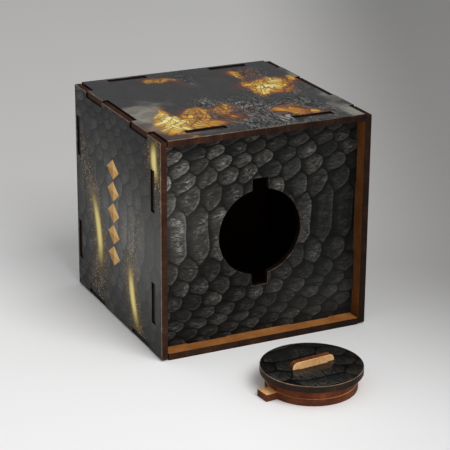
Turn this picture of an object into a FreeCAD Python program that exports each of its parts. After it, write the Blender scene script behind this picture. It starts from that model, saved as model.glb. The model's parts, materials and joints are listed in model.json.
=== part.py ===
import FreeCAD, Part
import os
import Sketcher

# Money box of finger-jointed board, lying on its side, with its twist-lock plug taken out.
# Row frame in millimetres: +Z up, the base with the hole faces -Y, and the origin is the
# centre of the floor board's underside.

doc = FreeCAD.newDocument("money_box")

# Driving dimensions
SIZES = [
    ("box_width", 100, "outside width, across the side boards"),
    ("box_depth", 98, "outside depth, front rim to back rim"),
    ("box_height", 99, "outside height"),
    ("board_thickness", 3, "printed board of the box, the cover, the lock disc and the handle"),
    ("tab_length", 18, "length of every finger and tab along its edge"),
    ("tab_pitch", 51, "between the centres of the two tabs on an edge"),
    ("tab_setback", 0.6, "how far a tab's or finger's end stays below the face that it comes out of"),
    ("joint_gap", 0.3, "gap beside a tab in its slot, and beside a lying board"),
    ("base_recess", 7, "base board behind the front rim, so that the plug clears the table in use"),
    ("back_recess", 2, "coin slot board behind the back rim"),
    ("hole_diameter", 39.5, "round hole in the base board"),
    ("notch_width", 7.7, "bayonet notch, across"),
    ("notch_span", 49.5, "bayonet notches, tip to tip"),
    ("coin_slot_length", 50, "coin slot, along the width"),
    ("coin_slot_width", 5, "coin slot, across"),
    ("lock_clearance", 0.3, "plug in the hole and tabs in the notches, on each side"),
    ("cover_overlap", 2, "cover beyond the edge of the hole"),
    ("spacer_thickness", 4, "thicker than the base board, so that the tabs turn behind it"),
    ("spacer_inset", 0.45, "spacer's radius less than the lock disc's"),
    ("handle_length", 20.6, "grip bar, end to end"),
    ("handle_rise", 3, "grip bar above the cover"),
    ("handle_corner", 2.5, "radius of the grip bar's upper corners"),
    ("tenon_length", 14, "grip bar's tenon in the cover"),
    ("tenon_gap", 0.15, "gap on each side of the tenon in its slot"),
    ("plug_aside", -2.8, "plug's centre from the middle of the box, along X"),
    ("plug_ahead", 47.6, "plug's centre in front of the front rim"),
    ("plug_turn", 5.8, "plug turned about its own axis, in degrees"),
]

sheet = doc.addObject("Spreadsheet::Sheet", "Sizes")
for row, (alias, number, meaning) in enumerate(SIZES, start=1):
    sheet.set(f"A{row}", alias)
    sheet.set(f"B{row}", str(number))
    sheet.set(f"C{row}", meaning)
    sheet.setAlias(f"B{row}", alias)
doc.recompute()

# Sizes that several pieces share, as expressions of the sheet
BOARD = "Sizes.board_thickness"
INNER_WIDTH = f"(Sizes.box_width - 2 * {BOARD})"
INNER_HEIGHT = f"(Sizes.box_height - 2 * {BOARD})"
TAB_DEPTH = f"({BOARD} - Sizes.tab_setback)"
TAB_OFFSET = "Sizes.tab_pitch / 2"
SLOT_LENGTH = "(Sizes.tab_length + 2 * Sizes.joint_gap)"
SLOT_WIDTH = f"({BOARD} + 2 * Sizes.joint_gap)"
BASE_FACE = "(Sizes.base_recess - Sizes.box_depth / 2)"
BACK_FACE = "(Sizes.box_depth / 2 - Sizes.back_recess)"
BASE_MIDDLE = f"({BASE_FACE} + {BOARD} / 2)"
BACK_MIDDLE = f"({BACK_FACE} - {BOARD} / 2)"
LOCK_RADIUS = "(Sizes.hole_diameter / 2 - Sizes.lock_clearance)"
SPACER_TOP = f"({BOARD} + Sizes.spacer_thickness)"
COVER_TOP = f"({SPACER_TOP} + {BOARD})"
SIDES = (-1, 1)
TOUCH = 1e-6

# Each board lies flat in its own sketch plane, and these turns stand it up in the box
LYING = FreeCAD.Rotation()
FACING_FRONT = FreeCAD.Rotation(FreeCAD.Vector(1, 0, 0), 90)
FACING_SIDE = FreeCAD.Rotation(FreeCAD.Vector(1, 1, 1), 120)
UPRIGHT_TURN = FreeCAD.Rotation(FreeCAD.Vector(0, 0, 1), 1)


def add_sketch(body, name, plane_role="XY_Plane"):
    """A sketch on one of the body's own origin planes."""
    sketch = body.newObject("Sketcher::SketchObject", name)
    plane = next(feature for feature in body.Origin.OriginFeatures if feature.Role == plane_role)
    sketch.AttachmentSupport = [(plane, "")]
    sketch.MapMode = "FlatFace"
    return sketch


def bind_constraint(sketch, name, expression, kind, *elements):
    """A named dimension of a sketch that follows an expression of the sheet."""
    number = sheet.evalExpression(expression)
    index = sketch.addConstraint(Sketcher.Constraint(kind, *elements, number))
    sketch.renameConstraint(index, name)
    sketch.setExpression(f"Constraints.{name}", expression)


def add_rectangle(sketch, name, centre, size):
    """A rectangle whose centre and size are pairs of expressions."""
    (x, y), (width, height) = centre, size
    left, right = f"{x} - {width} / 2", f"{x} + {width} / 2"
    bottom, top = f"{y} - {height} / 2", f"{y} + {height} / 2"
    corners = [(left, bottom), (right, bottom), (right, top), (left, top)]
    points = [FreeCAD.Vector(*map(sheet.evalExpression, corner), 0) for corner in corners]
    lines = [Part.LineSegment(points[i], points[(i + 1) % 4]) for i in range(4)]
    first = sketch.addGeometry(lines, False)[0]
    for i in range(4):
        following = first + (i + 1) % 4
        sketch.addConstraint(Sketcher.Constraint("Coincident", first + i, 2, following, 1))
        sketch.addConstraint(Sketcher.Constraint(("Horizontal", "Vertical")[i % 2], first + i))
    bind_constraint(sketch, f"{name}_left", left, "DistanceX", -1, 1, first, 1)
    bind_constraint(sketch, f"{name}_bottom", bottom, "DistanceY", -1, 1, first, 1)
    bind_constraint(sketch, f"{name}_right", right, "DistanceX", -1, 1, first + 2, 1)
    bind_constraint(sketch, f"{name}_top", top, "DistanceY", -1, 1, first + 2, 1)


def add_circle(sketch, name, radius):
    """A circle about the sketch's origin, with its radius an expression."""
    centre, normal = FreeCAD.Vector(), FreeCAD.Vector(0, 0, 1)
    circle = sketch.addGeometry(Part.Circle(centre, normal, sheet.evalExpression(radius)), False)
    sketch.addConstraint(Sketcher.Constraint("Coincident", circle, 3, -1, 1))
    bind_constraint(sketch, name, radius, "Radius", circle)


def pad(body, sketch, length):
    """The sketch padded up from its plane."""
    feature = body.newObject("PartDesign::Pad", f"{sketch.Name}_pad")
    feature.Profile = sketch
    feature.setExpression("Length", length)
    doc.recompute()
    return feature


def pocket_through(body, sketch):
    """The sketch cut right through the piece, which has to lose material."""
    before = body.Shape.Volume
    feature = body.newObject("PartDesign::Pocket", f"{sketch.Name}_cut")
    feature.Profile = sketch
    feature.Type = "ThroughAll"
    feature.Reversed = True
    doc.recompute()
    if body.Shape.Volume >= before:
        raise RuntimeError(f"{feature.Name} cuts nothing")


def new_body(label, rotation, x="0", y="0", z="0"):
    """A piece with its own label, turned as given and moved to a place given by expressions."""
    body = doc.addObject("PartDesign::Body", label)
    body.Label = label
    body.Placement = FreeCAD.Placement(FreeCAD.Vector(), rotation)
    for axis, expression in zip("xyz", (x, y, z)):
        body.setExpression(f"Placement.Base.{axis}", expression)
    return body


def add_blank(body, width, height):
    """The board's plain rectangle."""
    sketch = add_sketch(body, f"{body.Label}_blank")
    add_rectangle(sketch, "blank", ("0", "0"), (width, height))
    pad(body, sketch, BOARD)


def add_tabs(body, half_width=None, half_height=None):
    """Two tabs past half_width on each side and past half_height above and below, rooted in the blank."""
    sketch = add_sketch(body, f"{body.Label}_tabs")
    length = f"({TAB_DEPTH} + {BOARD})"
    shift = f"({TAB_DEPTH} - {BOARD}) / 2"
    for side in SIDES:
        for place in SIDES:
            mark = f"{'ab'[side > 0]}{'ab'[place > 0]}"
            along = f"{place} * {TAB_OFFSET}"
            if half_width:
                centre = (f"{side} * ({half_width} + {shift})", along)
                add_rectangle(sketch, f"edge_x_{mark}", centre, (length, "Sizes.tab_length"))
            if half_height:
                centre = (along, f"{side} * ({half_height} + {shift})")
                add_rectangle(sketch, f"edge_y_{mark}", centre, ("Sizes.tab_length", length))
    pad(body, sketch, BOARD)


def cut_slots(body, centres, size):
    """One slot of the given size at each centre, for the tabs of the boards that cross this one."""
    sketch = add_sketch(body, f"{body.Label}_slots")
    for number, centre in enumerate(centres):
        add_rectangle(sketch, f"slot_{number}", centre, size)
    pocket_through(body, sketch)


def make_end_panel(label, face):
    """A board across the box, between the other four, with tabs on all its edges."""
    body = new_body(label, FACING_FRONT, y=face, z="Sizes.box_height / 2")
    add_blank(body, INNER_WIDTH, INNER_HEIGHT)
    add_tabs(body, f"{INNER_WIDTH} / 2", f"{INNER_HEIGHT} / 2")
    return body


def make_base_panel():
    """The end board with the round hole and the two bayonet notches that the plug goes into."""
    body = make_end_panel("base_panel", f"{BASE_FACE} + {BOARD}")
    hole = add_sketch(body, "base_hole")
    add_circle(hole, "hole_radius", "Sizes.hole_diameter / 2")
    pocket_through(body, hole)
    notches = add_sketch(body, "bayonet_notches")
    add_rectangle(notches, "notches", ("0", "0"), ("Sizes.notch_width", "Sizes.notch_span"))
    pocket_through(body, notches)
    return body


def make_coin_slot_panel():
    """The end board that is on top in use, with the slot for coins and folded notes."""
    body = make_end_panel("coin_slot_panel", BACK_FACE)
    slot = add_sketch(body, "coin_slot")
    add_rectangle(slot, "slot", ("0", "0"), ("Sizes.coin_slot_length", "Sizes.coin_slot_width"))
    pocket_through(body, slot)
    return body


def make_lying_panel(label, height):
    """A board between the side boards, with tabs into their edges and slots for the end boards."""
    body = new_body(label, LYING, z=height)
    add_blank(body, f"({INNER_WIDTH} - 2 * Sizes.joint_gap)", "Sizes.box_depth")
    add_tabs(body, half_width=f"{INNER_WIDTH} / 2")
    centres = [(f"{side} * {TAB_OFFSET}", y) for side in SIDES for y in (BASE_MIDDLE, BACK_MIDDLE)]
    cut_slots(body, centres, (SLOT_LENGTH, SLOT_WIDTH))
    return body


def make_side_panel(label, x):
    """A side board, with notches for the lying boards' tabs and slots for the end boards' tabs."""
    body = new_body(label, FACING_SIDE, x=x, z="Sizes.box_height / 2")
    add_blank(body, "Sizes.box_depth", "(Sizes.box_height - 2 * Sizes.tab_setback)")
    centres = [(y, f"{side} * {TAB_OFFSET}") for side in SIDES for y in (BASE_MIDDLE, BACK_MIDDLE)]
    cut_slots(body, centres, (SLOT_WIDTH, SLOT_LENGTH))
    notches = add_sketch(body, f"{label}_finger_notches")
    for side in SIDES:
        for place in SIDES:
            centre = (f"{place} * {TAB_OFFSET}", f"{side} * (Sizes.box_height - {BOARD}) / 2")
            name = f"notch_{'ab'[side > 0]}{'ab'[place > 0]}"
            add_rectangle(notches, name, centre, (SLOT_LENGTH, BOARD))
    pocket_through(body, notches)
    return body


def new_plug_body(label, height):
    """A piece of the plug, on the plug's own upright axis."""
    ahead = "-Sizes.box_depth / 2 - Sizes.plug_ahead"
    body = new_body(label, UPRIGHT_TURN, "Sizes.plug_aside", ahead, height)
    body.setExpression("Placement.Rotation.Angle", "Sizes.plug_turn")
    return body


def make_plug_disc(label, height, radius, thickness):
    """A plain disc of the plug's stack."""
    body = new_plug_body(label, height)
    sketch = add_sketch(body, f"{label}_round")
    add_circle(sketch, "disc_radius", radius)
    pad(body, sketch, thickness)
    return body


def make_plug_lock_disc():
    """The disc that goes through the hole, with the two tabs that turn behind the base board."""
    body = make_plug_disc("plug_lock_disc", "0", LOCK_RADIUS, BOARD)
    tabs = add_sketch(body, "lock_tabs")
    span = "(Sizes.notch_span - 2 * Sizes.lock_clearance)"
    width = "(Sizes.notch_width - 2 * Sizes.lock_clearance)"
    add_rectangle(tabs, "tabs", ("0", "0"), (span, width))
    pad(body, tabs, BOARD)
    return body


def make_plug_cover():
    """The printed disc that covers the hole, slotted for the grip bar's tenon."""
    radius = "Sizes.hole_diameter / 2 + Sizes.cover_overlap"
    body = make_plug_disc("plug_cover", SPACER_TOP, radius, BOARD)
    slot = add_sketch(body, "handle_slot")
    size = ("(Sizes.tenon_length + 2 * Sizes.tenon_gap)", f"({BOARD} + 2 * Sizes.tenon_gap)")
    add_rectangle(slot, "slot", ("0", "0"), size)
    pocket_through(body, slot)
    return body


def make_plug_handle():
    """The upright grip bar: shoulders on the cover, a tenon through it and round upper corners."""
    body = new_plug_body("plug_handle", COVER_TOP)
    outline = add_sketch(body, "handle_bar", "XZ_Plane")
    rise = "Sizes.handle_rise"
    add_rectangle(outline, "bar", ("0", f"{rise} / 2"), ("Sizes.handle_length", rise))
    bar = pad(body, outline, BOARD)
    bar.SideType = "Symmetric"
    tenon = add_sketch(body, "handle_tenon", "XZ_Plane")
    add_rectangle(tenon, "tenon", ("0", f"-{BOARD} / 2"), ("Sizes.tenon_length", BOARD))
    peg = pad(body, tenon, BOARD)
    peg.SideType = "Symmetric"
    doc.recompute()
    box = peg.Shape.BoundBox
    corners = [
        f"Edge{number}"
        for number, edge in enumerate(peg.Shape.Edges, start=1)
        if edge.BoundBox.ZMin > box.ZMax - TOUCH and edge.BoundBox.XLength < TOUCH
    ]
    rounding = body.newObject("PartDesign::Fillet", "handle_corners")
    rounding.Base = (peg, corners)
    rounding.setExpression("Radius", "Sizes.handle_corner")
    return body


pieces = [
    make_base_panel(),
    make_coin_slot_panel(),
    make_lying_panel("picture_panel", f"Sizes.box_height - {BOARD}"),
    make_lying_panel("floor_panel", "0"),
    make_side_panel("left_panel", "-Sizes.box_width / 2"),
    make_side_panel("right_panel", f"Sizes.box_width / 2 - {BOARD}"),
    make_plug_lock_disc(),
    make_plug_disc("plug_spacer", BOARD, f"{LOCK_RADIUS} - Sizes.spacer_inset", "Sizes.spacer_thickness"),
    make_plug_cover(),
    make_plug_handle(),
]
doc.recompute()

# Every object has to be sound before anything is written
for item in doc.Objects:
    if "Invalid" in item.State or "Error" in item.State:
        raise RuntimeError(f"{item.Name} failed: {item.State}")
for piece in pieces:
    if piece.Shape.isNull() or not piece.Shape.isValid() or len(piece.Shape.Solids) != 1:
        raise RuntimeError(f"{piece.Label} is not one valid solid")

os.makedirs("parts", exist_ok=True)
for piece in pieces:
    piece.Shape.exportStep(f"parts/{piece.Label}.step")
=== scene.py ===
"""Looks of a finger-jointed board money box, lying on its side with its twist-lock plug taken out."""

from __future__ import annotations

import json
import logging
import math
from dataclasses import dataclass
from enum import Enum, IntEnum
from functools import partial, reduce
from typing import Any, Dict, List, Sequence, Tuple, Union

import bpy
from mathutils import Matrix, Vector

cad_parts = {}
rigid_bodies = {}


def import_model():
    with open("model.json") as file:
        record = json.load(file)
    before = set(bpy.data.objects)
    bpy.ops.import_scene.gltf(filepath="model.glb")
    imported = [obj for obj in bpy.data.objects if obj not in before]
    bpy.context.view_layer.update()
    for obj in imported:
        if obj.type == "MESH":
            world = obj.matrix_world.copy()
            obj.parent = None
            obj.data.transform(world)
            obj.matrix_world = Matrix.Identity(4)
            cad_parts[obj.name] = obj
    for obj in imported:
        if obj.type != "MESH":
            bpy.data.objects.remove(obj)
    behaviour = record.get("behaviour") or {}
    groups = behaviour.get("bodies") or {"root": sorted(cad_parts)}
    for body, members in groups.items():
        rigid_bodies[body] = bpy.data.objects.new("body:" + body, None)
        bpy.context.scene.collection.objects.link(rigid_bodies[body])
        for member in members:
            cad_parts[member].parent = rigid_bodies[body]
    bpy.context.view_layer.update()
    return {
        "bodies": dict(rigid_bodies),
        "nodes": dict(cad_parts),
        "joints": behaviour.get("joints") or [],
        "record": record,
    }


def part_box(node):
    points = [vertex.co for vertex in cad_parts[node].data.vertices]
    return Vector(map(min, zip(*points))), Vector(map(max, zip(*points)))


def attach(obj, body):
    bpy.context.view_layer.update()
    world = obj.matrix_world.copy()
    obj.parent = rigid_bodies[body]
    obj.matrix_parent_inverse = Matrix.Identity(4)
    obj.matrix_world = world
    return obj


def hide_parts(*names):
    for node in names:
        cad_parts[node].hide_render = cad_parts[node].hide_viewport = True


LOG = logging.getLogger("money_box")
MM = 0.001
ACROSS = Vector((1, 0, 0))
ALONG = Vector((0, 1, 0))
UP = Vector((0, 0, 1))
NOISE_SPAN = (0.3, 0.7)
NOISE_MIDDLE = 0.5
SCREEN_TOE = 0.04
SCREEN_TOE_SLOPE = 12.92
SCREEN_OFFSET = 0.055
SCREEN_POWER = 2.4

Material = bpy.types.Material
Piece = bpy.types.Object
Socket = bpy.types.NodeSocket
Colour = Tuple[float, float, float, float]
Number = Union[float, Socket]
Paint = Union[Colour, Socket]
Triple = Tuple[float, float, float]
Fade = Tuple[float, ...]
Stops = Tuple[Tuple[float, Colour], ...]


def tint(red: int, green: int, blue: int) -> Colour:
    """A colour as it is written for a screen, made linear for a shader.

    Args:
        red: Red from 0 to 255.
        green: Green from 0 to 255.
        blue: Blue from 0 to 255.

    Returns:
        The linear colour with full alpha.
    """
    parts = [part / 255 for part in (red, green, blue)]
    linear = [part / SCREEN_TOE_SLOPE if part <= SCREEN_TOE
              else ((part + SCREEN_OFFSET) / (1 + SCREEN_OFFSET)) ** SCREEN_POWER for part in parts]
    return (linear[0], linear[1], linear[2], 1.0)


class Facing(Enum):
    """The way that a printed face looks: its outward normal, and its right and up seen from outside."""

    FRONT = ((0, -1, 0), (1, 0, 0), (0, 0, 1))
    BACK = ((0, 1, 0), (-1, 0, 0), (0, 0, 1))
    LEFT = ((-1, 0, 0), (0, -1, 0), (0, 0, 1))
    RIGHT = ((1, 0, 0), (0, 1, 0), (0, 0, 1))
    TOP = ((0, 0, 1), (1, 0, 0), (0, 1, 0))
    UNDER = ((0, 0, -1), (1, 0, 0), (0, -1, 0))

    @property
    def outward(self) -> Vector:
        """The face's outward normal."""
        return Vector(self.value[0])

    @property
    def right(self) -> Vector:
        """To the right for someone who looks at the face."""
        return Vector(self.value[1])

    @property
    def up(self) -> Vector:
        """Upwards for someone who looks at the face."""
        return Vector(self.value[2])


class Mixed(Enum):
    """What a Mix node mixes, with the numbers of its two inputs and its output for that."""

    VECTOR = (4, 5, 1)
    RGBA = (6, 7, 2)


@dataclass(frozen=True)
class Grain:
    """A noise pattern: how fine it is, its octaves, its distortion and, where it has one, its stretch."""

    per_metre: float
    octaves: float = 3.0
    rough: float = 0.5
    twist: float = 0.0
    stretch: Union[Triple, None] = None


class Bench:
    """One material under construction, with short ways to add and join its nodes."""

    def __init__(self, name: str) -> None:
        """Starts an empty material with a Principled shader.

        Args:
            name: The material's name.
        """
        self.material = bpy.data.materials.new(name)
        self.material.use_nodes = True
        self.tree = self.material.node_tree
        self.tree.nodes.clear()
        self.shader = self.add("ShaderNodeBsdfPrincipled")
        output = self.add("ShaderNodeOutputMaterial")
        self.tree.links.new(self.shader.outputs["BSDF"], output.inputs["Surface"])
        self.place = self.add("ShaderNodeTexCoord").outputs["Object"]

    def add(self, kind: str, *inputs: Any, **settings: Any) -> bpy.types.Node:
        """Adds a node.

        Args:
            kind: The node's type.
            inputs: What its first inputs are linked or set to.
            settings: Properties to set on it.

        Returns:
            The new node.
        """
        node = self.tree.nodes.new(kind)
        for name, value in settings.items():
            setattr(node, name, value)
        for socket, value in zip(node.inputs, inputs):
            self.feed(socket, value)
        return node

    def feed(self, socket: Socket, value: Any) -> None:
        """Links a socket to another, or sets it to a constant.

        Args:
            socket: The input.
            value: The output that it is linked to, or the constant.
        """
        if isinstance(value, bpy.types.NodeSocket):
            self.tree.links.new(value, socket)
        else:
            socket.default_value = value

    def math(self, operation: str, first: Number, second: Number = 0.0) -> Socket:
        """One arithmetic step on one or two numbers."""
        return self.add("ShaderNodeMath", first, second, operation=operation).outputs[0]

    def times(self, *factors: Number) -> Socket:
        """The product of two or more numbers."""
        return reduce(partial(self.math, "MULTIPLY"), factors)

    def plus(self, *terms: Number) -> Socket:
        """The sum of two or more numbers."""
        return reduce(partial(self.math, "ADD"), terms)

    def minus(self, first: Number, second: Number) -> Socket:
        """The difference of two numbers."""
        return self.math("SUBTRACT", first, second)

    def size(self, value: Number) -> Socket:
        """A number without its sign."""
        return self.math("ABSOLUTE", value)

    def fade(self, value: Number, start: float, end: float, low: Number = 0.0,
             high: Number = 1.0) -> Socket:
        """A smooth step of a value.

        Args:
            value: The number that runs.
            start: Where it begins to change.
            end: Where it has changed.
            low: The result at start.
            high: The result at end.

        Returns:
            The stepped number.
        """
        step = self.add("ShaderNodeMapRange", value, start, end, low, high, interpolation_type="SMOOTHSTEP")
        return step.outputs[0]

    def vary(self, grain: Socket, low: float, high: float) -> Socket:
        """A number that runs from low to high over the usual span of a noise."""
        return self.fade(grain, *NOISE_SPAN, low, high)

    def vector(self, x: Number, y: Number, z: Number = 0.0) -> Socket:
        """A vector of three numbers."""
        return self.add("ShaderNodeCombineXYZ", x, y, z).outputs[0]

    def parts(self, vector: Socket) -> Tuple[Socket, ...]:
        """The three numbers of a vector."""
        return tuple(self.add("ShaderNodeSeparateXYZ", vector).outputs)

    def dot(self, vector: Socket, direction: Sequence[float]) -> Socket:
        """How far a vector reaches along a fixed direction."""
        return self.add("ShaderNodeVectorMath", vector, direction, operation="DOT_PRODUCT").outputs["Value"]

    def stretch(self, vector: Socket, scale: Sequence[float]) -> Socket:
        """A vector with its three numbers multiplied by fixed ones."""
        return self.add("ShaderNodeVectorMath", vector, scale, operation="MULTIPLY").outputs[0]

    def shift(self, vector: Socket, drift: Socket, amount: float) -> Socket:
        """A place moved by a noise colour, by so many metres for the whole range of the noise."""
        reach = (amount, amount, 0.0)
        return self.add("ShaderNodeVectorMath", drift, reach, vector, operation="MULTIPLY_ADD").outputs[0]

    def mix(self, mixed: Mixed, factor: Number, below: Any, above: Any) -> Socket:
        """Mixes two vectors or colours.

        Args:
            mixed: Which of the two they are.
            factor: How much of the upper one counts.
            below: The lower one.
            above: The upper one.

        Returns:
            The mix.
        """
        lower, upper, result = mixed.value
        node = self.add("ShaderNodeMix", factor, data_type=mixed.name)
        self.feed(node.inputs[lower], below)
        self.feed(node.inputs[upper], above)
        return node.outputs[result]

    def choose(self, factor: Number, below: Socket, above: Socket) -> Socket:
        """One of two vectors."""
        return self.mix(Mixed.VECTOR, factor, below, above)

    def blend(self, factor: Number, below: Paint, above: Paint) -> Socket:
        """One colour laid over another, as densely as the factor says."""
        return self.mix(Mixed.RGBA, factor, below, above)

    def ramp(self, value: Number, stops: Stops) -> Socket:
        """A colour read off a ramp.

        Args:
            value: Where to read it.
            stops: Positions from 0 to 1 with their colours.

        Returns:
            The colour.
        """
        node = self.add("ShaderNodeValToRGB", value)
        elements = node.color_ramp.elements
        for position, _ in stops[2:]:
            elements.new(position)
        for element, (position, colour) in zip(elements, stops):
            element.position = position
            element.color = colour
        return node.outputs[0]

    def noise(self, place: Socket, grain: Grain, output: str = "Fac") -> Socket:
        """A noise texture.

        Args:
            place: Where it is read.
            grain: Its pattern.
            output: The name of the wanted output.

        Returns:
            That output.
        """
        if grain.stretch:
            place = self.stretch(place, grain.stretch)
        node = self.add("ShaderNodeTexNoise")
        for name, value in (("Vector", place), ("Scale", grain.per_metre), ("Detail", grain.octaves),
                            ("Roughness", grain.rough), ("Distortion", grain.twist)):
            self.feed(node.inputs[name], value)
        return node.outputs[output]

    def cells(self, place: Socket, per_metre: float, feature: str = "F1") -> bpy.types.Node:
        """A Voronoi texture.

        Args:
            place: Where it is read.
            per_metre: Cells per metre.
            feature: The Voronoi feature.

        Returns:
            The node.
        """
        node = self.add("ShaderNodeTexVoronoi", feature=feature)
        self.feed(node.inputs["Vector"], place)
        self.feed(node.inputs["Scale"], per_metre)
        return node

    def bump(self, height: Socket, strength: float, depth: float) -> None:
        """Gives the shader a bumpy normal.

        Args:
            height: The height, from 0 to 1.
            strength: The Bump node's strength.
            depth: What a height of 1 means, in metres.
        """
        node = self.add("ShaderNodeBump")
        for name, value in (("Strength", strength), ("Distance", depth), ("Height", height)):
            self.feed(node.inputs[name], value)
        self.feed(self.shader.inputs["Normal"], node.outputs[0])

    def surface(self, colour: Paint, roughness: Number, specular: float) -> Material:
        """Sets the shader's main sockets.

        Args:
            colour: Base colour.
            roughness: Roughness.
            specular: Specular level.

        Returns:
            The finished material.
        """
        self.feed(self.shader.inputs["Base Color"], colour)
        self.feed(self.shader.inputs["Roughness"], roughness)
        self.shader.inputs["Specular IOR Level"].default_value = specular
        return self.material


class PrintBench(Bench):
    """A print under construction, with a point's metres to the right of the face's centre and above it."""

    def __init__(self, name: str, facing: Facing, centre: Vector) -> None:
        """Starts the material.

        Args:
            name: The material's name.
            facing: The face's directions.
            centre: The face's centre.
        """
        super().__init__(name)
        self.across = self.minus(self.dot(self.place, facing.right), centre.dot(facing.right))
        self.above = self.minus(self.dot(self.place, facing.up), centre.dot(facing.up))


@dataclass(frozen=True)
class Lacquer:
    """The satin skin over a print, with the ink's fine grain."""

    roughness: float = 0.36
    specular: float = 0.30
    spread: float = 0.05
    ink: Grain = Grain(2600.0, 2.0)
    relief: float = 0.10
    relief_depth: float = 0.05 * MM

    def coat(self, bench: Bench, colour: Paint) -> Material:
        """Finishes a print.

        Args:
            bench: The material.
            colour: The printed colours.

        Returns:
            The finished material.
        """
        ink = bench.noise(bench.place, self.ink)
        bench.bump(ink, self.relief, self.relief_depth)
        roughness = bench.vary(ink, self.roughness - self.spread, self.roughness + self.spread)
        return bench.surface(colour, roughness, self.specular)


@dataclass(frozen=True)
class ScaleShade:
    """The light and dark on a painted scale: its root, belly, free edge and wrinkles."""

    free_along: float = 0.8
    free_beside: float = -0.6
    free_start: float = 0.12
    shadow_width: Fade = (-0.40, 0.10, 0.30, 0.04)
    shadow_tone: Fade = (0.35, 0.65, 0.28, 0.55)
    outline: Fade = (0.0, 0.075, 0.16, 1.0)
    raggedness: float = 0.09
    rim_from: Fade = (0.03, 0.07)
    rim_to: Fade = (0.17, 0.09)
    rim_side: Fade = (0.05, 0.35)
    rim_light: float = 0.16
    slope: Fade = (-0.50, 0.25, 0.55, 1.0)
    luck: Fade = (0.0, 1.0, 0.64, 1.30)
    folds: Grain = Grain(300.0, 3.0, 0.55, 1.2, (0.5, 1.9, 1.0))
    lines: Grain = Grain(800.0, 3.0, 0.6, 0.8, (0.7, 1.5, 1.0))
    patches: Grain = Grain(130.0, 2.0)
    fold_tone: Fade = (0.25, 0.75, 0.66, 1.3)
    line_tone: Fade = (0.25, 0.75, 0.62, 1.35)
    body_light: float = 0.35
    crest_width: Fade = (0.10, 0.0)
    crest_patches: Fade = (0.40, 0.62)
    glint_belly: Fade = (0.08, 0.34, 0.5, 1.25)
    glint_lines: Fade = (0.3, 0.65, 0.4, 1.0)
    glint_light: float = 0.46

    def paint(self, bench: Bench, spot: Socket, edge: Socket, flat: Socket) -> Socket:
        """Models each scale in light and dark.

        Args:
            bench: The material.
            spot: Place along the scale and across it, and its chance number.
            edge: How far its edge is.
            flat: Place on the skin.

        Returns:
            The painted lightness.
        """
        forward, beside, chance = bench.parts(spot)
        free = bench.plus(bench.times(forward, self.free_along), bench.times(beside, self.free_beside),
                          self.free_start)
        slope = bench.fade(free, *self.slope)
        folds = bench.noise(flat, self.folds)
        lines = bench.noise(flat, self.lines)
        patches = bench.noise(flat, self.patches)
        wave = bench.minus(folds, NOISE_MIDDLE)
        ragged = bench.plus(edge, bench.times(wave, self.raggedness))
        shadow = bench.math("DIVIDE", ragged, bench.fade(free, *self.shadow_width))
        deepest = bench.fade(patches, *self.shadow_tone)
        lit = bench.times(bench.fade(shadow, 0.0, 1.0, deepest, 1.0), bench.fade(ragged, *self.outline))
        body = bench.times(slope, bench.fade(chance, *self.luck), bench.times(
            bench.fade(folds, *self.fold_tone), bench.fade(lines, *self.line_tone)), self.body_light)
        crest = bench.times(bench.fade(bench.size(wave), *self.crest_width),
                            bench.fade(patches, *self.crest_patches))
        glint = bench.times(crest, slope, bench.fade(edge, *self.glint_belly),
                            bench.fade(lines, *self.glint_lines), self.glint_light)
        rim = bench.times(bench.fade(edge, *self.rim_from), bench.fade(edge, *self.rim_to),
                          bench.fade(free, *self.rim_side), self.rim_light)
        return bench.times(bench.plus(body, glint, rim), lit)


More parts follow.
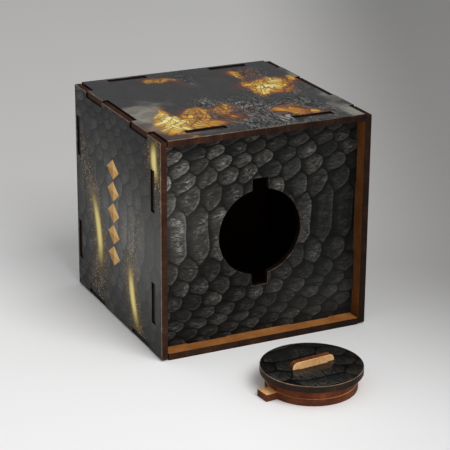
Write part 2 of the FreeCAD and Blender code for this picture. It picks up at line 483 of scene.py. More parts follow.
@dataclass(frozen=True)
class ScaleTile:
    """The layout of reptile scales: a band of tall plates, and rows of scales that shrink away from it."""

    pitch: float = 10.2 * MM
    phase: float = 0.47
    band_above: float = 6.0 * MM
    band_straight: float = 7.0 * MM
    band_end: float = 4.5 * MM
    rows_per_metre: float = 88.0
    rows_gain: float = 2200.0
    shift_up: float = 0.70
    shift_down: float = 0.42
    row_squash: float = 0.64
    skew: float = 0.24
    jitter: float = 0.30
    curl: float = 0.44
    drift: Grain = Grain(38.0)
    drift_reach: float = 4.5 * MM
    turn_deg: float = 0.0
    nudge_up: float = 0.0001
    shade: ScaleShade = ScaleShade()

    def paint(self, bench: PrintBench) -> Socket:
        """Draws the scales.

        Args:
            bench: The print.

        Returns:
            How light the painted scales are, from 0 in the gaps to about 1 on their wrinkles.
        """
        turn = math.radians(self.turn_deg)
        place = bench.vector(bench.across, bench.above)
        flat = bench.vector(bench.dot(place, (math.cos(turn), math.sin(turn), 0)),
                            bench.dot(place, (-math.sin(turn), math.cos(turn), 0)))
        flat = bench.shift(flat, bench.noise(flat, self.drift, "Color"), self.drift_reach)
        side, rise, _ = bench.parts(flat)
        column = bench.minus(bench.times(side, 1 / self.pitch), self.phase)
        spot, edge = self.nearest(bench, self.sites(bench, column, self.row(bench, rise)))
        return self.shade.paint(bench, spot, edge, flat)

    def row(self, bench: Bench, rise: Socket) -> Socket:
        """Counts the rows of scales from the middle of the band.

        Args:
            bench: The material.
            rise: Metres up.

        Returns:
            The row's number, whole in the middle of a row.
        """
        rise = bench.minus(rise, self.band_above)
        far = bench.math("MAXIMUM", bench.minus(bench.size(rise), self.band_straight), 0.0)
        within = bench.times(bench.math("MINIMUM", far, self.band_end), 0.5 / self.band_end)
        beyond = bench.math("MAXIMUM", bench.minus(far, self.band_end), 0.0)
        rows = bench.plus(within, bench.times(beyond, self.rows_per_metre),
                          bench.times(beyond, beyond, self.rows_gain))
        return bench.times(rows, bench.math("SIGN", rise))

    def sites(self, bench: Bench, column: Socket, row: Socket) -> List[Tuple[Socket, Socket]]:
        """Finds the four scales round a place.

        Args:
            bench: The material.
            column: The place in columns.
            row: The place in rows.

        Returns:
            For each scale its distance, and the place on it with the scale's own chance number.
        """
        low = bench.math("FLOOR", bench.plus(row, self.nudge_up))
        found = []
        for up in (0.0, 1.0):
            line = bench.plus(low, up)
            upper = bench.times(bench.math("MAXIMUM", line, 0.0), self.shift_up)
            lower = bench.times(bench.math("MINIMUM", line, 0.0), self.shift_down)
            along = bench.minus(column, bench.plus(upper, lower))
            start = bench.math("FLOOR", along)
            for ahead in (0.0, 1.0):
                chance = bench.add("ShaderNodeTexWhiteNoise", noise_dimensions="2D")
                bench.feed(chance.inputs["Vector"], bench.vector(bench.plus(start, ahead), line))
                luck = bench.parts(chance.outputs["Color"])
                nudge = [bench.times(bench.minus(part, NOISE_MIDDLE), self.jitter) for part in luck[:2]]
                forward = bench.minus(bench.minus(along, start), bench.plus(nudge[0], ahead))
                beside = bench.times(bench.minus(bench.minus(row, line), nudge[1]), self.row_squash)
                square = bench.plus(bench.times(forward, forward), bench.times(beside, beside),
                                    bench.times(forward, beside, -self.skew))
                found.append((bench.plus(bench.math("SQRT", square), bench.times(forward, self.curl)),
                              bench.vector(forward, beside, luck[2])))
        return found

    def nearest(self, bench: Bench, sites: List[Tuple[Socket, Socket]]) -> Tuple[Socket, Socket]:
        """Picks the scale that a place is on.

        Args:
            bench: The material.
            sites: The four scales round the place.

        Returns:
            The place on the nearest scale, and how far its edge is, less in the corners.
        """
        nears, fars, spots = [], [], []
        for (one, spot), (two, other) in (sites[:2], sites[2:]):
            nears.append(bench.math("MINIMUM", one, two))
            fars.append(bench.math("MAXIMUM", one, two))
            spots.append(bench.choose(bench.math("LESS_THAN", one, two), other, spot))
        spot = bench.choose(bench.math("LESS_THAN", *nears), spots[1], spots[0])
        first = bench.math("MINIMUM", *nears)
        between = (bench.math("MAXIMUM", *nears), bench.math("MINIMUM", *fars))
        second = bench.minus(bench.math("MINIMUM", *between), first)
        third = bench.minus(bench.math("MAXIMUM", *between), first)
        spread = bench.plus(second, third, self.nudge_up)
        return spot, bench.math("DIVIDE", bench.times(second, third), spread)


@dataclass(frozen=True)
class PaintedSheenSpot:
    """A soft oval of painted sheen on a print, where the ink is painted paler, placed from the face's
    centre.
    """

    across: float
    above: float
    wide: float
    tall: float
    amount: float

    def paint(self, bench: PrintBench) -> Socket:
        """Draws the painted sheen.

        Args:
            bench: The print.

        Returns:
            How much lighter the painted sheen makes the print.
        """
        aside = bench.times(bench.minus(bench.across, self.across), 1 / self.wide)
        rise = bench.times(bench.minus(bench.above, self.above), 1 / self.tall)
        far = bench.math("SQRT", bench.plus(bench.times(aside, aside), bench.times(rise, rise)))
        return bench.fade(far, 1.0, 0.0, 0.0, self.amount)


@dataclass(frozen=True)
class GoldStreak:
    """A bowed, tapering streak of gold dust on a printed face, placed from the face's centre."""

    across: float
    above: float
    length: float
    lean: float
    bow: float
    width: float
    core_across: Fade = (1.2, 0.1)
    core_along: Fade = (1.0, 0.1)
    haze_across: Fade = (2.2, 0.3)
    haze_along: Fade = (1.3, 0.3)
    haze_light: float = 0.26
    dust_across: Fade = (3.0, 0.4)
    dust_along: Fade = (2.6, 1.0)

    def paint(self, bench: PrintBench, sparks: Socket) -> Tuple[Socket, Socket]:
        """Draws the streak.

        Args:
            bench: The print.
            sparks: The dust's grains, from 0 to 1.

        Returns:
            The strength of the bright core and of the loose dust round it.
        """
        rise = bench.minus(bench.above, self.above)
        reach = bench.times(rise, 2 / self.length)
        middle = bench.plus(self.across, bench.times(rise, self.lean), bench.times(reach, reach, self.bow))
        off = bench.size(bench.times(bench.minus(bench.across, middle), 1 / self.width))
        far = bench.size(reach)
        core = bench.times(bench.fade(off, *self.core_across), bench.fade(far, *self.core_along))
        haze = bench.times(bench.fade(off, *self.haze_across), bench.fade(far, *self.haze_along),
                           self.haze_light)
        dust = bench.times(bench.fade(off, *self.dust_across), bench.fade(far, *self.dust_along), sparks)
        return bench.math("MAXIMUM", core, haze), dust


@dataclass(frozen=True)
class GoldDust:
    """Grains of gold over a print, gathered in streaks with a bright core."""

    streaks: Tuple[GoldStreak, ...]
    grains_per_metre: float = 1000.0
    grain_edge: Fade = (0.46, 0.18)
    grain_share: Fade = (0.35, 0.75)
    grain_colour: Colour = tint(196, 162, 108)
    core: Stops = ((0.0, tint(110, 84, 40)), (0.40, tint(190, 160, 80)), (0.90, tint(240, 224, 146)))

    def paint(self, bench: PrintBench, colour: Socket) -> Socket:
        """Lays the gold dust over a print.

        Args:
            bench: The print.
            colour: The print's colour.

        Returns:
            The colour with the dust on it.
        """
        grains = bench.cells(bench.vector(bench.across, bench.above), self.grains_per_metre)
        sparks = bench.times(bench.fade(grains.outputs["Distance"], *self.grain_edge),
                             bench.fade(bench.parts(grains.outputs["Color"])[0], *self.grain_share))
        for streak in self.streaks:
            core, dust = streak.paint(bench, sparks)
            colour = bench.blend(dust, colour, self.grain_colour)
            colour = bench.blend(core, colour, bench.ramp(core, self.core))
        return colour


@dataclass(frozen=True)
class LozengeRow:
    """An upright row of plain faceted lozenges."""

    across: float
    above: float
    pitch: float = 10.2 * MM
    half_width: float = 7.4 * MM
    count: int = 5
    outline: Fade = (0.95, 0.88)
    facet_middle: float = 0.5
    facet_across: float = 0.16
    facet_above: float = 0.12
    wash: Grain = Grain(220.0, 4.0, 0.6)
    wash_share: float = 0.5
    gold: Stops = ((0.10, tint(146, 106, 56)), (0.50, tint(200, 156, 90)), (0.90, tint(232, 194, 124)))

    def paint(self, bench: PrintBench, colour: Socket) -> Socket:
        """Draws the lozenges over a print.

        Args:
            bench: The print.
            colour: The print's colour.

        Returns:
            The colour with the lozenges on it.
        """
        off = bench.minus(bench.across, self.across)
        rise = bench.minus(bench.above, self.above)
        turn = bench.plus(bench.times(rise, 1 / self.pitch), self.count / 2)
        step = bench.minus(bench.math("FRACT", turn), 0.5)
        reach = bench.plus(bench.times(bench.size(off), 1 / self.half_width),
                           bench.times(bench.size(step), 2.0))
        inside = bench.times(bench.fade(reach, *self.outline),
                             bench.math("LESS_THAN", bench.size(rise), self.pitch * self.count / 2))
        facet = bench.plus(self.facet_middle, bench.times(bench.math("SIGN", off), self.facet_across),
                           bench.times(bench.math("SIGN", step), self.facet_above))
        wash = bench.minus(bench.noise(bench.place, self.wash), NOISE_MIDDLE)
        gold = bench.ramp(bench.plus(facet, bench.times(wash, self.wash_share)), self.gold)
        return bench.blend(inside, colour, gold)


class Ink(Enum):
    """The greys of a scale print, from the gaps to the brightest wrinkles."""

    BOLD = (tint(8, 8, 8), tint(30, 30, 28), tint(58, 57, 54), tint(100, 98, 94), tint(168, 166, 160))
    QUIET = (tint(26, 26, 26), tint(44, 44, 44), tint(62, 62, 61), tint(86, 86, 85), tint(124, 123, 121))


@dataclass(frozen=True)
class ScalePrint:
    """Satin charcoal print of reptile scales on a board's outer face."""

    name: str
    facing: Facing
    centre: Vector
    ink: Ink = Ink.BOLD
    ink_steps: Tuple[float, ...] = (0.0, 0.18, 0.40, 0.65, 1.0)
    # The tone level below, with its slopes across and up the face, is painted light that makes the print
    # lighter or darker across the face.
    light: float = 1.0
    light_least: float = 0.25
    painted_light_across: float = 0.0
    painted_light_above: float = 0.0
    lacquer: Lacquer = Lacquer()
    tile: ScaleTile = ScaleTile()
    # Soft ovals of painted sheen laid over the print.
    spots: Tuple[PaintedSheenSpot, ...] = ()
    layers: Tuple[Union[GoldDust, LozengeRow], ...] = ()

    def material(self) -> Material:
        """Makes the finish.

        Returns:
            The material.
        """
        bench = PrintBench(self.name, self.facing, self.centre)
        tone = self.tile.paint(bench)
        # Painted light: the tone is scaled by a level that slopes across the face.
        light = bench.plus(self.light, bench.times(bench.across, self.painted_light_across),
                           bench.times(bench.above, self.painted_light_above))
        tone = bench.times(tone, bench.math("MAXIMUM", light, self.light_least))
        # Painted sheen: the soft ovals make the print lighter on top of its tone.
        tone = bench.plus(tone, *(spot.paint(bench) for spot in self.spots))
        colour = bench.ramp(tone, tuple(zip(self.ink_steps, self.ink.value)))
        for layer in self.layers:
            colour = layer.paint(bench, colour)
        return self.lacquer.coat(bench, colour)


@dataclass(frozen=True)
class Crackle:
    """Cracks in a leaf or a stone, and the flakes between them."""

    per_metre: float
    squeeze: float
    crack: Fade

    def paint(self, bench: Bench, place: Socket) -> Tuple[Socket, Socket]:
        """Draws the cracks.

        Args:
            bench: The material.
            place: Place on the stone.

        Returns:
            How much the cracks leave of the leaf, and each flake's chance number.
        """
        place = bench.stretch(place, (1.0, self.squeeze, 1.0))
        edge = bench.cells(place, self.per_metre, "DISTANCE_TO_EDGE").outputs["Distance"]
        flake = bench.cells(place, self.per_metre).outputs["Color"]
        return bench.fade(edge, *self.crack), bench.parts(flake)[0]


@dataclass(frozen=True)
class DarkStone:
    """Dark stone with cracked silver fields and pale smoke."""

    crackle: Crackle = Crackle(560.0, 0.55, (0.02, 0.16, 0.30, 1.0))
    silver_field: Fade = (0.41, 0.58)
    silver_grain: Fade = (0.28, 0.72, 0.35, 1.0)
    silver_flake: Fade = (0.0, 1.0, 0.55, 1.0)
    silver: Stops = ((0.0, tint(64, 64, 65)), (0.25, tint(74, 74, 74)), (0.7, tint(120, 119, 115)),
                     (1.0, tint(170, 166, 156)))
    speck: Fade = (0.25, 0.0)
    speck_colour: Colour = tint(24, 24, 25)
    crack_field: Fade = (0.39, 0.58)
    crack_dark: Fade = (0.9, 0.4, 0.0, 0.8)
    crack_colour: Colour = tint(22, 22, 23)
    smoke: Fade = (0.58, 0.72, 0.0, 0.75)
    smoke_grain: Fade = (0.5, 1.0)
    smoke_colour: Colour = tint(160, 155, 142)

    def paint(self, bench: Bench, warped: Socket, cloud: Socket, grain: Socket, haze: Socket) -> Socket:
        """Paints the stone.

        Args:
            bench: The material.
            warped: Place on the stone.
            cloud: Where the silver lies.
            grain: Fine grain.
            haze: Where the smoke lies.

        Returns:
            The colour.
        """
        crack, flake = self.crackle.paint(bench, warped)
        silver = bench.times(bench.fade(cloud, *self.silver_field), bench.fade(grain, *self.silver_grain),
                             bench.fade(flake, *self.silver_flake), crack)
        colour = bench.ramp(silver, self.silver)
        colour = bench.blend(bench.vary(grain, *self.speck), colour, self.speck_colour)
        cracks = bench.times(bench.fade(cloud, *self.crack_field), bench.fade(crack, *self.crack_dark))
        colour = bench.blend(cracks, colour, self.crack_colour)
        smoke = bench.times(bench.fade(haze, *self.smoke), bench.vary(grain, *self.smoke_grain))
        return bench.blend(smoke, colour, self.smoke_colour)


@dataclass(frozen=True)
class GoldLeaf:
    """Cracked gold leaf with amber glows round it."""

    crackle: Crackle = Crackle(400.0, 0.6, (0.02, 0.14, 0.15, 1.0))
    outline: Fade = (0.595, 0.63)
    glow: Fade = (0.53, 0.66)
    glow_grain: Fade = (0.25, 1.0)
    glow_share: float = 0.8
    glow_colour: Colour = tint(118, 58, 24)
    heat: Fade = (0.58, 0.74, 0.0, 0.6)
    heat_flake: float = 0.45
    heat_haze: Fade = (0.35, 0.65, -0.35, 0.2)
    gold: Stops = ((0.05, tint(112, 58, 22)), (0.40, tint(190, 132, 48)), (0.70, tint(220, 186, 84)),
                   (1.0, tint(240, 226, 150)))

    def paint(self, bench: Bench, warped: Socket, leaf: Socket, grain: Socket, haze: Socket,
              colour: Socket) -> Socket:
        """Lays the leaf on the stone.

        Args:
            bench: The material.
            warped: Place on the stone.
            leaf: Where the leaf lies.
            grain: Fine grain.
            haze: Broad variation of the leaf's tone.
            colour: The stone's colour.

        Returns:
            The colour with the gold.
        """
        crack, flake = self.crackle.paint(bench, warped)
        glow = bench.times(bench.fade(leaf, *self.glow), bench.vary(grain, *self.glow_grain),
                           self.glow_share)
        colour = bench.blend(glow, colour, self.glow_colour)
        heat = bench.plus(bench.fade(leaf, *self.heat), bench.times(flake, self.heat_flake),
                          bench.fade(haze, *self.heat_haze))
        gilt = bench.times(bench.fade(leaf, *self.outline), crack)
        return bench.blend(gilt, colour, bench.ramp(heat, self.gold))


@dataclass(frozen=True)
class MarblePrint:
    """Satin print of dark marble with silver clouds, amber glows and cracked gold leaf."""

    name: str
    facing: Facing
    centre: Vector
    seed: float = 13.5
    margin: float = 46 * MM
    margin_width: float = 12 * MM
    margin_drop: float = -0.12
    cloud_drop: float = 0.5
    drift: Grain = Grain(24.0, 3.0, 0.55)
    drift_reach: float = 40 * MM
    cloud: Grain = Grain(24.0, 3.0, 0.5, 0.4, (1.0, 0.62, 1.0))
    leaf: Grain = Grain(34.0, 2.0, 0.45, 0.3, (1.0, 0.55, 1.7))
    grain: Grain = Grain(240.0, 5.0, 0.62, 0.8, (1.0, 0.7, 1.0))
    haze: Grain = Grain(30.0, 3.0, 0.5, 0.2, (1.0, 0.6, 2.9))
    stone: DarkStone = DarkStone()
    gilding: GoldLeaf = GoldLeaf()
    lacquer: Lacquer = Lacquer(roughness=0.34, specular=0.16)

    def material(self) -> Material:
        """Makes the finish.

        Returns:
            The material.
        """
        bench = PrintBench(self.name, self.facing, self.centre)
        outer = bench.math("MAXIMUM", bench.size(bench.across), bench.size(bench.above))
        inner = bench.fade(outer, self.margin, self.margin - self.margin_width, self.margin_drop, 0.0)
        flat = bench.vector(bench.across, bench.above, self.seed)
        warped = bench.shift(flat, bench.noise(flat, self.drift, "Color"), self.drift_reach)
        cloud = bench.plus(bench.noise(warped, self.cloud), bench.times(inner, self.cloud_drop))
        leaf = bench.plus(bench.noise(warped, self.leaf), inner)
        grain = bench.noise(warped, self.grain)
        haze = bench.noise(warped, self.haze)
        colour = self.stone.paint(bench, warped, cloud, grain, haze)
        return self.lacquer.coat(bench, self.gilding.paint(bench, warped, leaf, grain, haze, colour))


class Char(Enum):
    """How far the laser has burnt a cut edge: its dark, middle and light browns."""

    BROWN = (tint(26, 15, 10), tint(53, 32, 22), tint(80, 51, 36))
    # BLACK: burnt black, and darker than the burn alone as painted shade in slots, notches, holes and the
    # gaps between joined boards.
    BLACK = (tint(9, 6, 5), tint(20, 13, 11), tint(36, 24, 19))
    RED = (tint(58, 27, 16), tint(104, 51, 30), tint(146, 82, 50))
    EMBER = (tint(48, 25, 15), tint(87, 46, 28), tint(126, 74, 46))
    RUST = (tint(52, 26, 13), tint(96, 53, 26), tint(134, 84, 48))
    SOOTY = (tint(22, 16, 12), tint(44, 33, 26), tint(66, 50, 40))


@dataclass(frozen=True)
class BurntEdge:
    """A laser-cut edge of fibreboard: brown, with fine marks through the thickness, and painted shade that
    can darken it towards the right.
    """

    name: str
    char: Char
    through: Vector
    # How much painted shade darkens the burn towards the right.
    painted_shade_right: float = 0.0
    grain: float = 0.45
    reach: float = 50 * MM
    char_steps: Triple = (0.30, 0.52, 0.74)
    marks: Grain = Grain(1500.0, 3.0, 0.6)
    marks_squeeze: float = 0.12
    patches: Grain = Grain(120.0, 4.0, 0.6)
    relief: float = 0.35
    relief_depth: float = 0.12 * MM
    roughness: Tuple[float, float] = (0.48, 0.68)
    specular: float = 0.08

    def material(self) -> Material:
        """Makes the finish.

        Returns:
            The material.
        """
        bench = Bench(self.name)
        squeeze = [self.marks_squeeze if part else 1.0 for part in self.through]
        marks = bench.noise(bench.stretch(bench.place, squeeze), self.marks)
        patches = bench.noise(bench.place, self.patches)
        burn = bench.plus(bench.times(marks, self.grain), bench.times(patches, 1.0 - self.grain))
        # Painted shade: the burn is darkened towards the right.
        painted_shade_right = bench.fade(bench.parts(bench.place)[0], -self.reach, self.reach, 0.0, self.painted_shade_right)
        colour = bench.ramp(bench.minus(burn, painted_shade_right), tuple(zip(self.char_steps, self.char.value)))
        bench.bump(marks, self.relief, self.relief_depth)
        return bench.surface(colour, bench.vary(marks, *self.roughness), self.specular)


class Board(Enum):
    """Bare fibreboard faces: smoked by the laser inside the box, a darker smoked copy as painted shade on
    the right board's inside, or clean on the plug.
    """

    SMOKED = (tint(100, 58, 22), tint(154, 98, 46), tint(190, 134, 76))
    # SHADED: the smoked board painted darker as shade, for the right board's inside.
    SHADED = (tint(66, 34, 10), tint(104, 61, 22), tint(132, 82, 38))
    CLEAN = (tint(176, 124, 74), tint(226, 178, 122), tint(250, 216, 168))


@dataclass(frozen=True)
class BareBoard:
    """An unprinted board face with its pressed fibres, painted near-black as shade beyond a given depth in
    the box.
    """

    name: str
    board: Board
    # Painted shade: beyond this depth the board is painted near-black, where the box's inside lies in
    # shade.
    painted_shade_from: float = 1.0
    painted_shade_width: float = 3 * MM
    painted_shade_share: float = 0.9
    painted_shade_colour: Colour = tint(3, 2, 1)
    board_steps: Triple = (0.34, 0.52, 0.70)
    fibres: Grain = Grain(1900.0, 5.0, 0.7, 0.6, (1.0, 1.0, 0.35))
    fibres_share: float = 0.6
    clouds: Grain = Grain(90.0, 3.0, 0.6)
    clouds_share: float = 0.4
    relief: float = 0.25
    relief_depth: float = 0.08 * MM
    roughness: Tuple[float, float] = (0.62, 0.82)
    specular: float = 0.25

    def material(self) -> Material:
        """Makes the finish.

        Returns:
            The material.
        """
        bench = Bench(self.name)
        fibres = bench.noise(bench.place, self.fibres)
        clouds = bench.noise(bench.place, self.clouds)
        mottle = bench.plus(bench.times(fibres, self.fibres_share), bench.times(clouds, self.clouds_share))
        colour = bench.ramp(mottle, tuple(zip(self.board_steps, self.board.value)))
        # Painted shade: near-black beyond the given depth.
        painted_inside_shade = bench.fade(bench.parts(bench.place)[1], self.painted_shade_from, self.painted_shade_from + self.painted_shade_width,
                          0.0, self.painted_shade_share)
        bench.bump(fibres, self.relief, self.relief_depth)
        return bench.surface(bench.blend(painted_inside_shade, colour, self.painted_shade_colour),
                             bench.vary(fibres, *self.roughness), self.specular)


@dataclass(frozen=True)
class HeatLine:
    """The thin pale line that the laser's heat leaves along a print's edge, with painted shade that can
    darken it towards the right.
    """

    name: str
    painted_shade_right: float = 0.0
    fainter: float = 0.0
    reach: float = 50 * MM
    patches: Grain = Grain(240.0, 4.0, 0.65)
    scorch: Stops = ((0.20, tint(34, 25, 20)), (0.55, tint(128, 102, 80)), (0.72, tint(172, 146, 120)))
    roughness: Tuple[float, float] = (0.45, 0.65)
    specular: float = 0.3

    def material(self) -> Material:
        """Makes the finish.

        Returns:
            The material.
        """
        bench = Bench(self.name)
        patches = bench.noise(bench.place, self.patches)
        # Painted shade: the line is darkened towards the right, on top of its being fainter.
        fainter_and_painted_shade = bench.fade(bench.parts(bench.place)[0], -self.reach, self.reach, self.fainter,
                          self.fainter + self.painted_shade_right)
        colour = bench.ramp(bench.minus(patches, fainter_and_painted_shade), self.scorch)
        return bench.surface(colour, bench.vary(patches, *self.roughness), self.specular)


class Finish(IntEnum):
    """A piece's finishes, in the order of its material slots."""

    FACE = 0
    BACK = 1
    RIM = 2
    CUT = 3
    LINE = 4


@dataclass
class BoardPiece:
    """One laser-cut piece: a rounded copy of its CAD node, with a finish for each kind of face."""

    node: str
    name: str
    slot: str
    outward: Vector
    face: Material
    back: Material
    rim: Material
    inner_cut: Material
    line: Material
    rim_reach: float = 0.5 * MM
    line_inside: bool = False
    black_and_shaded_left: bool = False
    weld: float = 0.002 * MM
    flat_deg: float = 0.5
    edge_width: float = 0.22 * MM
    edge_segments: int = 2
    sharp_deg: float = 40.0
    smooth_deg: float = 20.0
    flat_facing: float = 0.97
    line_facing: float = 0.15
    side_facing: float = 0.5

    def build(self, frame: Dict[str, Any], body: str) -> Piece:
        """Makes the piece and puts it in its node's place.

        Args:
            body: The body that it rides on.

        Returns:
            The finished piece.
        """
        piece = self.copy_node(frame)
        self.round_edges(piece)
        self.dress(piece)
        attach(piece, body)
        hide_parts(self.node)
        return piece

    def copy_node(self, frame: Dict[str, Any]) -> Piece:
        """Copies the node's mesh, welds its triangles and joins them into flat faces.


        Returns:
            The copy, selected and active.
        """
        mesh = frame["nodes"][self.node].data.copy()
        mesh.materials.clear()
        piece = bpy.data.objects.new(self.name, mesh)
        bpy.context.scene.collection.objects.link(piece)
        bpy.ops.object.select_all(action="DESELECT")
        piece.select_set(True)
        bpy.context.view_layer.objects.active = piece
        bpy.ops.mesh.customdata_custom_splitnormals_clear()
        bpy.ops.object.mode_set(mode="EDIT")
        bpy.ops.mesh.select_all(action="SELECT")
        bpy.ops.mesh.remove_doubles(threshold=self.weld)
        bpy.ops.mesh.dissolve_limited(angle_limit=math.radians(self.flat_deg))
        bpy.ops.object.mode_set(mode="OBJECT")
        return piece

    def round_edges(self, piece: Piece) -> None:
        """Takes the sharpness off the cut edges.

        Args:
            piece: The piece, selected and active.
        """
        rounding = piece.modifiers.new("edge_round", "BEVEL")
        rounding.width = self.edge_width
        rounding.segments = self.edge_segments
        rounding.limit_method = "ANGLE"
        rounding.angle_limit = math.radians(self.sharp_deg)
        bpy.ops.object.modifier_apply(modifier=rounding.name)
        bpy.ops.object.shade_smooth_by_angle(angle=math.radians(self.smooth_deg))

    def dress(self, piece: Piece) -> None:
        """Gives each face the finish of the side that it is on.

        Args:
            piece: The piece.
        """
        for material in (self.face, self.back, self.rim, self.inner_cut, self.line):
            piece.data.materials.append(material)
        for polygon in piece.data.polygons:
            polygon.material_index = self.finish_of(polygon)

    def finish_of(self, polygon: bpy.types.MeshPolygon) -> Finish:
        """Picks a face's finish.

        Args:
            polygon: The face.

        Returns:
            The finish of the side that it is on.
        """
        towards = polygon.normal.dot(self.outward)
        # The floor board's left-facing cut faces take the black finish, as painted shade in the slots they
        # sit in.
        blackened = self.black_and_shaded_left and polygon.normal.x < -self.side_facing
        cut = Finish.RIM if self.on_rim(polygon.center) and not blackened else Finish.CUT
        if towards > self.flat_facing:
            return Finish.FACE
        if towards < -self.flat_facing:
            return Finish.BACK
        if towards > self.line_facing and (cut == Finish.RIM or self.line_inside):
            return Finish.LINE
        return cut

    def on_rim(self, point: Vector) -> bool:
        """Tells the board's outline from its slots.

        Args:
            point: A point on a cut edge.

        Returns:
            Whether it lies at the outline.
        """
        low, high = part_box(self.node)
        inside = [min(point[axis] - low[axis], high[axis] - point[axis])
                  for axis in range(3) if abs(self.outward[axis]) < self.side_facing]
        return min(inside) < self.rim_reach


def face_centre(node: str) -> Vector:
    """The middle of a CAD node's box."""
    low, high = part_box(node)
    return (low + high) / 2


@dataclass
class Box:
    """The six boards of the money box."""

    body: str = "box"
    # Painted shade that darkens the boards' cut edges towards the right.
    edge_painted_shade: float = 0.20
    # Painted shade that darkens the heat lines towards the right.
    line_painted_shade: float = 0.30
    base_fainter: float = 0.27
    # Soft ovals of painted sheen on the base.
    base_painted_sheens: Tuple[PaintedSheenSpot, ...] = (
        PaintedSheenSpot(-48 * MM, 12 * MM, 44 * MM, 52 * MM, 0.27),
        PaintedSheenSpot(30 * MM, -36 * MM, 45 * MM, 28 * MM, 0.12),
    )
    # A soft oval of painted sheen on the left board, towards its right.
    left_painted_sheens: Tuple[PaintedSheenSpot, ...] = (PaintedSheenSpot(24 * MM, -3 * MM, 100 * MM, 60 * MM, 0.60),)
    dust: GoldDust = GoldDust((
        GoldStreak(-22 * MM, -13 * MM, 48 * MM, -0.24, -6.0 * MM, 5.0 * MM),
        GoldStreak(17 * MM, -31 * MM, 40 * MM, -0.27, 4.5 * MM, 4.6 * MM),
        GoldStreak(42 * MM, 39 * MM, 24 * MM, -0.12, 3.0 * MM, 4.6 * MM),
    ))
    ornament: LozengeRow = LozengeRow(-4 * MM, 1 * MM)

    def build(self, frame: Dict[str, Any]) -> List[Piece]:
        """Builds and dresses the boards.


        Returns:
            The boards.
        """
        line = HeatLine("heat_line", self.line_painted_shade).material()
        faint = HeatLine("heat_line_base", fainter=self.base_fainter).material()
        # The black finish is laser burn with painted shade of the slots, notches, holes and gaps between
        # boards.
        black = BurntEdge("burnt_slot_and_painted_shade", Char.BLACK, ALONG).material()
        sooty = BurntEdge("burnt_tab", Char.SOOTY, ALONG).material()
        lying = BurntEdge("burnt_edge_lying_boards", Char.BROWN, UP, self.edge_painted_shade).material()
        side = BurntEdge("burnt_edge_side_boards", Char.BROWN, ACROSS, self.edge_painted_shade).material()
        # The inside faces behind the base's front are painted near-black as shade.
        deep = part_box("base_panel")[0].y
        inside = BareBoard("bare_board_inside", Board.SMOKED, deep).material()
        # The right board's inside gets the darker copy as painted shade.
        shaded = BareBoard("bare_board_inside_right_painted_shade", Board.SHADED, deep).material()
        coin_print = self.plain_print("coin_slot_panel", Facing.BACK)
        plan = (
            ("base_panel", "base_board", sooty, faint, self.base_print()),
            ("coin_slot_panel", "coin_slot_board", sooty, faint, coin_print),
            ("picture_panel", "picture_board", lying, line, self.picture_print()),
            ("floor_panel", "floor_board", lying, line, self.plain_print("floor_panel", Facing.UNDER)),
            ("left_panel", "left_board", side, line, self.left_print()),
            ("right_panel", "right_board", side, line, self.plain_print("right_panel", Facing.RIGHT)),
        )
        pieces = []
        for node, name, rim, pale, printed in plan:
            slot = "picture_board" if node == "picture_panel" else "printed_board"
            back = shaded if node == "right_panel" else inside
            piece = BoardPiece(node, name, slot, printed.facing.outward, printed.material(), back, rim,
                               black, pale, line_inside=node == "base_panel",
                               black_and_shaded_left=node == "floor_panel")
            pieces.append(piece.build(frame, self.body))
        return pieces

    def base_print(self) -> ScalePrint:
        """The bold scales on the base, made lighter at the upper left by painted light and painted sheen.

        Returns:
            The print.
        """
        return ScalePrint("print_base", Facing.FRONT, face_centre("base_panel"), light=0.74,
                          painted_light_across=-4.6, painted_light_above=3.2, lacquer=Lacquer(specular=0.08),
                          spots=self.base_painted_sheens)

    def left_print(self) -> ScalePrint:
        """The quieter scales on the left board, with gold dust and the ornament, and with painted sheen and
        painted light that make it paler and lower in contrast towards the right.

        Returns:
            The print.
        """
        tile = ScaleTile(phase=0.0, band_above=2.5 * MM)
        return ScalePrint("print_left", Facing.LEFT, face_centre("left_panel"), Ink.QUIET, light=0.56,
                          painted_light_across=-7.0, lacquer=Lacquer(specular=0.04), tile=tile,
                          spots=self.left_painted_sheens, layers=(self.dust, self.ornament))

    def plain_print(self, node: str, facing: Facing) -> ScalePrint:
        """Scales alone, for the sides that the photograph doesn't show."""
        return ScalePrint(f"print_{node}", facing, face_centre(node), light=0.8)

    def picture_print(self) -> MarblePrint:
        """The marble design on the top board."""
        return MarblePrint("print_picture", Facing.TOP, face_centre("picture_panel"))


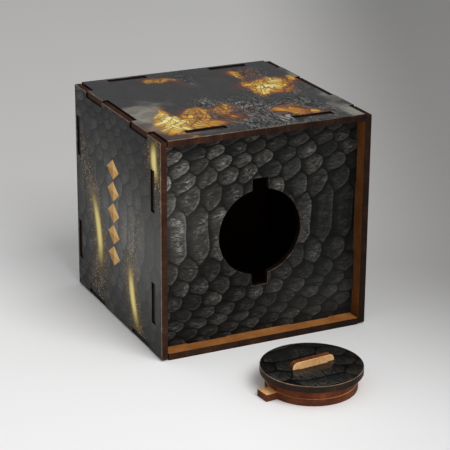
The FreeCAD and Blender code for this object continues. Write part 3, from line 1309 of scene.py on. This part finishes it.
@dataclass
class Plug:
    """The twist-lock plug: lock disc, spacer, printed cover and grip bar."""

    body: str = "plug"
    turn_deg: float = 5.8
    # Painted shade that darkens the cover's cut edge towards the right.
    cover_edge_painted_shade: float = 0.11
    disc_grain: float = 0.25
    rim_everywhere: float = 1.0

    def build(self, frame: Dict[str, Any]) -> List[Piece]:
        """Builds and dresses the plug.


        Returns:
            The plug's pieces.
        """
        level = ACROSS + ALONG
        turn = math.radians(self.turn_deg)
        front = Vector((math.sin(turn), -math.cos(turn), 0))
        line = HeatLine("heat_line_cover").material()
        clean = BareBoard("bare_board_plug", Board.CLEAN).material()
        red = BurntEdge("burnt_edge_plug", Char.RED, level, grain=self.disc_grain).material()
        ember = BurntEdge("burnt_edge_lock", Char.EMBER, level, grain=self.disc_grain).material()
        dark = BurntEdge("burnt_edge_cover", Char.SOOTY, UP, self.cover_edge_painted_shade).material()
        grip = BurntEdge("burnt_edge_grip", Char.RUST, ALONG).material()
        cover = self.cover_print().material()
        plan = (
            ("plug_lock_disc", "lock_disc", "raw_board", UP, clean, ember, ember),
            ("plug_spacer", "spacer_disc", "raw_board", UP, clean, red, red),
            ("plug_cover", "cover_disc", "printed_board", UP, cover, dark, line),
            ("plug_handle", "grip_bar", "raw_board", front, clean, grip, clean),
        )
        pieces = []
        for node, name, slot, outward, face, cut, edge in plan:
            piece = BoardPiece(node, name, slot, outward, face, clean, cut, cut, edge, self.rim_everywhere)
            pieces.append(piece.build(frame, self.body))
        return pieces

    def cover_print(self) -> ScalePrint:
        """The large dark scales on the cover, with painted shade that makes them darker to the right and
        towards the back.

        Returns:
            The print.
        """
        tile = ScaleTile(phase=0.0, band_above=0.0, rows_per_metre=78.5, rows_gain=1900.0, row_squash=0.74,
                         skew=0.62, curl=0.26, turn_deg=self.turn_deg - 90)
        return ScalePrint("print_cover", Facing.TOP, face_centre("plug_cover"), light=0.46,
                          painted_light_across=-4.0, painted_light_above=-2.0, lacquer=Lacquer(roughness=0.15, specular=0.22),
                          tile=tile)


@dataclass
class Studio:
    """The camera at the photograph's angle, the pale floor and the soft light."""

    image_px: float = 450.0
    focal_px: float = 1732.841
    azimuth_deg: float = -25.671
    elevation_deg: float = 20.397
    roll_deg: float = 0.384
    eye: Triple = (-0.31921, -0.67085, 0.31475)
    sensor_mm: float = 36.0
    floor_side: float = 6.0
    # Painted shade on the floor: a greying that slopes back and to the right, with near and far colours for
    # the left and the right.
    floor_falloff_lean: float = 0.51
    floor_falloff_depth: Fade = (-0.096, 0.112)
    floor_shade_aside: Fade = (0.0, 0.14)
    floor_left_painted_falloff: Tuple[Colour, Colour] = (tint(243, 243, 243), tint(202, 201, 200))
    floor_right_painted_shade: Tuple[Colour, Colour] = (tint(219, 219, 219), tint(143, 142, 141))
    floor_roughness: float = 0.6
    floor_specular: float = 0.2
    key_place: Triple = (0.15, -0.78, 1.0)
    key_target: Triple = (0.0, 0.0, 0.04)
    key_side: float = 0.7
    key_watts: float = 9.4
    room_light: float = 0.62
    dark_corner: Triple = (0.46, 0.80, 0.38)
    corner_span: Tuple[float, float] = (0.72, 0.95)
    corner_light: float = 0.16

    def build(self) -> None:
        """Sets up the camera, the floor, the lamp and the world."""
        self.add_camera()
        self.add_floor()
        self.add_lamp()
        self.light_world()
        bpy.context.scene.view_settings.view_transform = "Standard"

    def add_camera(self) -> None:
        """Places the camera where the photograph was taken from."""
        azimuth, elevation = math.radians(self.azimuth_deg), math.radians(self.elevation_deg)
        back = Vector((math.sin(azimuth) * math.cos(elevation), -math.cos(azimuth) * math.cos(elevation),
                       math.sin(elevation)))
        right = (-back).cross(UP).normalized()
        up = right.cross(-back)
        turn = Matrix((right, up, back)).transposed() @ Matrix.Rotation(math.radians(self.roll_deg), 3, "Z")
        data = bpy.data.cameras.new("photo_camera")
        data.sensor_width = self.sensor_mm
        data.lens = self.focal_px / self.image_px * self.sensor_mm
        camera = bpy.data.objects.new("photo_camera", data)
        camera.matrix_world = Matrix.Translation(self.eye) @ turn.to_4x4()
        bpy.context.scene.collection.objects.link(camera)
        bpy.context.scene.camera = camera

    def add_floor(self) -> None:
        """Lays a pale floor with painted shade: it is painted greyer further back behind the object and
        darker to the right.
        """
        bpy.ops.object.select_all(action="DESELECT")
        bpy.ops.mesh.primitive_plane_add(size=self.floor_side, location=(0, 0, 0))
        floor = bpy.context.active_object
        floor.name = "studio_floor"
        azimuth = math.radians(self.azimuth_deg)
        bench = Bench("studio_floor")
        aside = bench.dot(bench.place, (math.cos(azimuth), math.sin(azimuth), 0))
        depth = bench.dot(bench.place, (-math.sin(azimuth), math.cos(azimuth), 0))
        # Painted shade: the floor's colour greys further back and darkens to the right.
        far = bench.fade(bench.plus(depth, bench.times(aside, self.floor_falloff_lean)), *self.floor_falloff_depth)
        colour = bench.blend(bench.fade(aside, *self.floor_shade_aside), bench.blend(far, *self.floor_left_painted_falloff),
                             bench.blend(far, *self.floor_right_painted_shade))
        floor.data.materials.append(bench.surface(colour, self.floor_roughness, self.floor_specular))

    def add_lamp(self) -> None:
        """Hangs one large square lamp in front on the right."""
        data = bpy.data.lights.new("key_lamp", "AREA")
        data.size = self.key_side
        data.energy = self.key_watts
        lamp = bpy.data.objects.new("key_lamp", data)
        lamp.location = self.key_place
        aim = Vector(self.key_place) - Vector(self.key_target)
        lamp.rotation_euler = aim.to_track_quat("Z", "Y").to_euler()
        bpy.context.scene.collection.objects.link(lamp)

    def light_world(self) -> None:
        """Gives the room a soft grey-white light, with a dark corner behind on the right."""
        world = bpy.data.worlds.new("studio_room")
        bpy.context.scene.world = world
        world.use_nodes = True
        tree = world.node_tree
        towards = tree.nodes.new("ShaderNodeVectorMath")
        towards.operation = "DOT_PRODUCT"
        towards.inputs[1].default_value = Vector(self.dark_corner).normalized()
        tree.links.new(tree.nodes.new("ShaderNodeTexCoord").outputs["Generated"], towards.inputs[0])
        dim = tree.nodes.new("ShaderNodeMapRange")
        dim.interpolation_type = "SMOOTHSTEP"
        for socket, value in zip(dim.inputs[1:5], (*self.corner_span, self.room_light, self.corner_light)):
            socket.default_value = value
        tree.links.new(towards.outputs["Value"], dim.inputs["Value"])
        background = tree.nodes["Background"]
        background.inputs["Color"].default_value = (1.0, 1.0, 1.0, 1.0)
        tree.links.new(dim.outputs["Result"], background.inputs["Strength"])


def main() -> None:
    """Loads the frame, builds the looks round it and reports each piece."""
    logging.basicConfig(level=logging.INFO, format="%(name)s: %(message)s")
    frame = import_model()
    for assembly in (Box(), Plug()):
        for piece in assembly.build(frame):
            LOG.info("%s: %d faces on %s", piece.name, len(piece.data.polygons), assembly.body)
    Studio().build()


if __name__ == "__main__":
    main()
